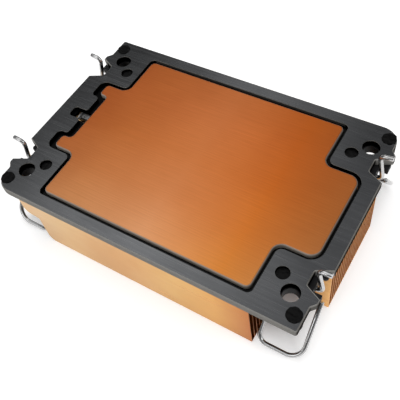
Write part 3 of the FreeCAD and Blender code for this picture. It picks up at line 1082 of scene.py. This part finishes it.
@dataclass
class BentWire:
    """A round wire that is drawn as it is bent: straight runs pulled out, and bends spun."""

    name: str
    radius: float
    sides: int = 24
    bend_step_deg: float = 6.0
    fewest_bend_steps: int = 3
    smooth_deg: float = 50.0
    piece: bpy.types.Object = field(init=False)

    def start(self, point: Vector, heading: Vector) -> None:
        """Lay the wire's first ring, square to its heading.

        Args:
            point: Centre of the ring.
            heading: The way the wire sets out.
        """
        deselect_all()
        bpy.ops.mesh.primitive_circle_add(
            vertices=self.sides,
            radius=self.radius,
            fill_type="NOTHING",
            location=point,
            rotation=heading.to_track_quat("Z", "Y").to_euler(),
        )
        self.piece = bpy.context.object
        self.piece.name = self.name
        bpy.ops.object.transform_apply(location=True, rotation=True, scale=True)
        bpy.ops.object.mode_set(mode="EDIT")
        bpy.ops.mesh.select_mode(type="VERT")
        bpy.ops.mesh.select_all(action="SELECT")

    def run(self, offset: Vector) -> None:
        """Pull the wire straight along an offset."""
        bpy.ops.mesh.extrude_region_move(TRANSFORM_OT_translate={"value": offset})

    def bend(self, before: Vector, after: Vector, start: Vector, radius: float) -> None:
        """Bend the wire from one heading to another.

        Args:
            before: Unit heading into the bend.
            after: Unit heading out of it.
            start: Where the bend starts.
            radius: Radius of the wire's centre line.
        """
        turn = before.angle(after)
        axis = before.cross(after).normalized()
        centre = start + axis.cross(before) * radius
        steps = max(self.fewest_bend_steps, round(math.degrees(turn) / self.bend_step_deg))
        bpy.ops.mesh.spin(steps=steps, angle=-turn, center=centre, axis=axis)

    def finish(self, deburr: float) -> bpy.types.Object:
        """Close the wire's ends and break their rims.

        Args:
            deburr: Width of the broken rim.

        Returns:
            The finished wire.
        """
        bpy.ops.mesh.select_all(action="SELECT")
        bpy.ops.mesh.remove_doubles(threshold=WIRE_WELD)
        bpy.ops.mesh.fill_holes(sides=0)
        bpy.ops.object.mode_set(mode="OBJECT")
        select_faces(self.piece, lambda face: len(face.vertices) == self.sides)
        bpy.ops.object.mode_set(mode="EDIT")
        bpy.ops.mesh.bevel(offset=deburr, segments=EDGE_STEPS, affect="EDGES")
        bpy.ops.object.mode_set(mode="OBJECT")
        return settle(self.piece, self.smooth_deg)


@dataclass
class AntiTiltWires:
    """The four spring wires: each one a hook, a journal and a bail that hangs below its corner.

    Points are those of the back right wire, from its hinge axis, with its hook upright.
    """

    radius: float = 0.00075
    tip: tuple[float, float] = (0.0573, 0.0102)
    knee: tuple[float, float] = (0.0532, 0.0097)
    foot_x: float = 0.0553
    inner_x: float = 0.0419
    outer_x: float = 0.05595
    bail_length: float = 0.0231
    bail_end_gap: float = 0.003
    splay_deg: float = 39.0
    knee_radius: float = 0.0016
    journal_bend_radius: float = 0.0015
    bail_inner_radius: float = 0.003
    bail_outer_radius: float = 0.005
    deburr: float = 0.00018

    def bail_point(self, x: float, distance: float) -> Vector:
        """Return a point of the bail from the hinge axis, before the wire leans."""
        splay = math.radians(self.splay_deg)
        return Vector((x, distance * math.sin(splay), -distance * math.cos(splay)))

    def corners(self) -> list[tuple[Vector, float]]:
        """Return the points that the wire turns at, from the hinge axis, with their bend radii."""
        return [
            (Vector((self.tip[0], 0, self.tip[1])), 0.0),
            (Vector((self.knee[0], 0, self.knee[1])), self.knee_radius),
            (Vector((self.foot_x, 0, 0)), self.journal_bend_radius),
            (Vector((self.inner_x, 0, 0)), self.journal_bend_radius),
            (self.bail_point(self.inner_x, self.bail_length), self.bail_inner_radius),
            (self.bail_point(self.outer_x, self.bail_length), self.bail_outer_radius),
            (self.bail_point(self.outer_x, self.bail_end_gap), 0.0),
        ]

    def build_one(self, corner: Corner, hinge: Vector) -> bpy.types.Object:
        """Bend one corner's wire.

        Args:
            corner: The corner it belongs to.
            hinge: A point of its hinge axis.

        Returns:
            The new piece.
        """
        lean = Matrix.Rotation(math.radians(corner.lean_deg), 3, "X")
        path = []
        for point, radius in self.corners():
            leaned = lean @ point
            placed = corner.mirrored(leaned) + Vector((0, hinge.y, hinge.z))
            path.append((placed, radius))
        points = [point for point, _ in path]
        heading = (points[1] - points[0]).normalized()
        wire = BentWire("wire_" + corner.label, self.radius)
        wire.start(points[0], heading)
        at = points[0]
        for index in range(1, len(path) - 1):
            after = (points[index + 1] - points[index]).normalized()
            radius = path[index][1]
            setback = radius * math.tan(heading.angle(after) / 2)
            bend_start = points[index] - heading * setback
            wire.run(bend_start - at)
            wire.bend(heading, after, bend_start, radius)
            at = points[index] + after * setback
            heading = after
        wire.run(points[-1] - at)
        return wire.finish(self.deburr)

    def build(self) -> list[bpy.types.Object]:
        """Bend and dress the four wires.

        Returns:
            The wires.
        """
        steel = WIRE_STEEL.make()
        hinges = {joint["child"]: Vector(joint["pos_m"]) for joint in frame["joints"]}
        wires = []
        for corner in Corner:
            node = "anti_tilt_wire_" + corner.label
            wire = self.build_one(corner, hinges[node])
            dress(wire, steel)
            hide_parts(node)
            wires.append(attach(wire, node))
        return wires


# ---------------------------------------------------------------------------------------------
# Studio


def direction(azimuth_deg: float, elevation_deg: float) -> Vector:
    """Work out the way from the object towards a viewer or a lamp.

    Args:
        azimuth_deg: Turn from the front, positive towards the right.
        elevation_deg: Height above the horizon.

    Returns:
        The unit vector.
    """
    azimuth, elevation = math.radians(azimuth_deg), math.radians(elevation_deg)
    flat = math.cos(elevation)
    return Vector((math.sin(azimuth) * flat, -math.cos(azimuth) * flat, math.sin(elevation)))


@dataclass(frozen=True)
class SoftBox:
    """A square lamp that faces a point of the object."""

    name: str
    azimuth_deg: float
    elevation_deg: float
    distance: float
    size: float
    power: float

    def hang(self, aim: Vector) -> bpy.types.Object:
        """Make the lamp.

        Args:
            aim: The point it faces.

        Returns:
            The lamp's object.
        """
        lamp = bpy.data.lights.new(self.name, "AREA")
        lamp.shape = "SQUARE"
        lamp.size = self.size
        lamp.energy = self.power
        piece = bpy.data.objects.new(self.name, lamp)
        bpy.context.scene.collection.objects.link(piece)
        away = direction(self.azimuth_deg, self.elevation_deg)
        piece.location = aim + away * self.distance
        piece.rotation_euler = (-away).to_track_quat("-Z", "Y").to_euler()
        return piece


@dataclass
class Studio:
    """The pale floor, the lamps, the plain world and the camera."""

    aim: tuple[float, float, float] = (0.00654, -0.00884, 0.01694)
    azimuth_deg: float = 40.60
    elevation_deg: float = 54.37
    roll_deg: float = -11.64
    distance: float = 0.19486
    lens: float = 54.13
    sensor: float = 36.0
    clip: tuple[float, float] = (0.01, 20.0)
    floor_size: float = 4.0
    floor_colour: Colour = (0.90, 0.90, 0.90)
    floor_roughness: float = 0.9
    # The floor's glow near the object and far from it, and the band over which it fades: a painted
    # shadow round the object
    floor_lift: tuple[float, float] = (0.05, 0.56)
    painted_shadow_band: tuple[float, float] = (-0.012, 0.002)
    sky: tuple[tuple[float, float], ...] = (
        (0.0, 0.14),
        (0.52, 0.14),
        (0.68, 0.20),
        (0.82, 0.62),
        (0.92, 1.00),
    )
    lamps: tuple[SoftBox, ...] = (
        SoftBox("window_left", -125.0, 58.0, 0.60, 0.27, 0.24),
        SoftBox("window_right", -154.0, 48.0, 0.60, 0.17, 0.08),
        SoftBox("front_left", -28.0, 30.0, 0.70, 0.42, 0.90),
        SoftBox("right", 100.0, 32.0, 0.80, 0.40, 1.50),
    )

    def make_camera(self) -> None:
        """Set up the camera at its angle, distance and roll."""
        data = bpy.data.cameras.new("camera")
        data.lens = self.lens
        data.sensor_width = self.sensor
        data.clip_start, data.clip_end = self.clip
        camera = bpy.data.objects.new("camera", data)
        bpy.context.scene.collection.objects.link(camera)
        away = direction(self.azimuth_deg, self.elevation_deg)
        facing = (-away).to_track_quat("-Z", "Y").to_matrix()
        roll = Matrix.Rotation(math.radians(self.roll_deg), 3, "Z")
        camera.rotation_euler = (facing @ roll).to_euler()
        camera.location = Vector(self.aim) + away * self.distance
        bpy.context.scene.camera = camera

    def make_floor(self) -> None:
        """Lay the pale floor, which shows white but keeps the object's shadow, with a painted
        shadow where its glow fades near the object.
        """
        deselect_all()
        bpy.ops.mesh.primitive_plane_add(size=self.floor_size, location=(0, 0, 0))
        floor = bpy.context.object
        floor.name = "studio_floor"
        sheet = NodeSheet("floor_pale")
        shader = sheet.shader
        shader.inputs["Base Color"].default_value = (*self.floor_colour, 1.0)
        shader.inputs["Roughness"].default_value = self.floor_roughness
        shader.inputs["Specular IOR Level"].default_value = 0.0
        lift = sheet.combine(Operation.PRODUCT, sheet.seen_rays(), self.floor_glow_and_painted_shadow(sheet))
        glow = sheet.add("ShaderNodeEmission")
        sheet.join(lift, glow.inputs["Strength"])
        both = sheet.add("ShaderNodeAddShader")
        sheet.join(shader.outputs["BSDF"], both.inputs[0])
        sheet.join(glow.outputs["Emission"], both.inputs[1])
        sheet.join(both.outputs["Shader"], sheet.tree.nodes["Material Output"].inputs["Surface"])
        floor.data.materials.append(sheet.material)

    def floor_glow_and_painted_shadow(self, sheet: NodeSheet) -> Socket:
        """Lift the floor to white, less and less towards the object: a painted shadow round it, on
        top of its real one.

        Args:
            sheet: The floor's nodes.

        Returns:
            The socket of the lift.
        """
        low, high = CAD_BOX
        half = sheet.add("ShaderNodeVectorMath")
        half.operation = "ABSOLUTE"
        sheet.join(sheet.place, half.inputs[0])
        beyond = sheet.add("ShaderNodeVectorMath")
        beyond.operation = "SUBTRACT"
        beyond.inputs[1].default_value = ((high.x - low.x) / 2, (high.y - low.y) / 2, 0.0)
        sheet.join(half.outputs[0], beyond.inputs[0])
        aside, ahead = (sheet.axis(axis, beyond.outputs[0]) for axis in (Axis.X, Axis.Y))
        distance = sheet.combine(Operation.LARGER, aside, ahead)
        return sheet.span(distance, self.floor_lift, self.painted_shadow_band, ease=True)

    def make_world(self) -> None:
        """Give the world its plain light from above, and a white background where it is seen."""
        world = bpy.data.worlds.new("studio_world")
        bpy.context.scene.world = world
        world.use_nodes = True
        nodes = NodeTree(world.node_tree)
        height = nodes.axis(Axis.Z, nodes.coordinates["Generated"])
        sky = nodes.ramp(height, [(position, (level,) * 3) for position, level in self.sky])
        seen = nodes.add("ShaderNodeLightPath").outputs["Is Camera Ray"]
        background = world.node_tree.nodes["Background"]
        nodes.join(nodes.cover(sky, WHITE, seen), background.inputs["Color"])

    def build(self) -> None:
        """Set up everything round the object."""
        self.make_floor()
        self.make_world()
        for lamp in self.lamps:
            lamp.hang(Vector(self.aim))
        self.make_camera()
        bpy.context.scene.view_settings.view_transform = "Standard"


# ---------------------------------------------------------------------------------------------
# Reports


def main() -> None:
    """Build every sub-assembly and the studio, and report each piece."""
    logging.basicConfig(level=logging.INFO, format="%(name)s: %(message)s")
    built: list[bpy.types.Object] = [MountingFrame().build()]
    built += VaporChamber().build()
    built += FinStack().build()
    built += WireRetainers().build()
    built += AntiTiltWires().build()
    for piece in built:
        LOG.info("%s: %d faces", piece.name, len(piece.data.polygons))
    Studio().build()


if __name__ == "__main__":
    main()
